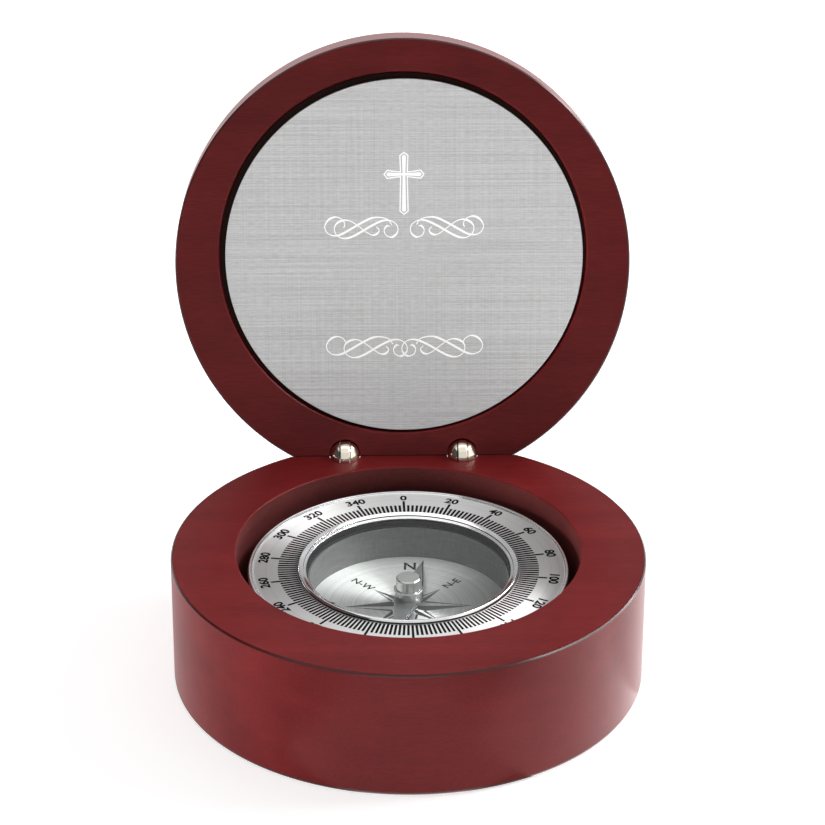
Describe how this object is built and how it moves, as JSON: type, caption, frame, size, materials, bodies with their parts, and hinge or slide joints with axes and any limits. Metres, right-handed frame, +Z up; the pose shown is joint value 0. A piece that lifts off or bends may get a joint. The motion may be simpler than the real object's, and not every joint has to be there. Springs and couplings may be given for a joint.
{
  "type": "magnetic compass",
  "caption": "Round wooden desk box with a sunk magnetic compass and turning degree ring in its base, and a hinged lid with an inlaid metal plate.",
  "frame": {"origin": "centre of the base's underside, on the axis of the round box", "axes": "+X to the right seen from the front, +Y to the back where the hinges are, +Z up"},
  "size_m": [0.0826, 0.1022, 0.0982],
  "materials": {
    "lacquered_wood": "red-brown stain under satin lacquer",
    "black_foam": "matt black adhesive foam",
    "black_plastic": "moulded, matt black",
    "turned_silver": "finely turned in rings, printed in black",
    "brushed_grey": "brushed, dark grey",
    "gasket_rubber": "matt black",
    "crystal_glass": "clear, polished flat",
    "bezel_chrome": "mirror polished",
    "nylon": "natural",
    "satin_silver": "satin, printed in black",
    "pivot_brass": "turned",
    "polished_steel": "polished",
    "nickel_plate": "polished nickel plate",
    "jewel_glass": "polished",
    "brushed_plate": "cross-brushed, with a light engraved ornament"
  },
  "bodies": {
    "base": {"base_body": "lacquered_wood", "compass_pad": "black_foam", "compass_housing": "black_plastic", "compass_card": "turned_silver", "well_liner": "brushed_grey", "crystal_gasket": "gasket_rubber", "crystal": "crystal_glass", "crystal_bezel": "bezel_chrome", "ring_washer": "nylon", "pivot_base": "pivot_brass", "pivot_pin": "polished_steel", "hinge_fork_left": "nickel_plate", "hinge_fork_right": "nickel_plate", "hinge_pin_left": "polished_steel", "hinge_pin_right": "polished_steel"},
    "lid": {"lid_body": "lacquered_wood", "lid_plate_pad": "black_foam", "lid_plate": "brushed_plate", "hinge_tongue_left": "nickel_plate", "hinge_tongue_right": "nickel_plate"},
    "dial_ring": {"degree_ring": "satin_silver"},
    "needle": {"needle_blade": "polished_steel", "needle_collar": "nickel_plate", "needle_hub": "nickel_plate", "needle_jewel": "jewel_glass"}
  },
  "joints": [
    {"name": "lid_hinge", "type": "hinge", "parent": "base", "child": "lid", "pos_m": [0, 0.03548, 0.02365], "axis": [1, 0, 0], "range_deg": [0, 103]},
    {"name": "dial_ring_turn", "type": "hinge", "parent": "base", "child": "dial_ring", "pos_m": [0, 0.0003, 0.0199], "axis": [0, 0, 1], "continuous": true},
    {"name": "needle_swing", "type": "hinge", "parent": "base", "child": "needle", "pos_m": [0, 0.0003, 0.01675], "axis": [0, 0, 1], "continuous": true}
  ]
}
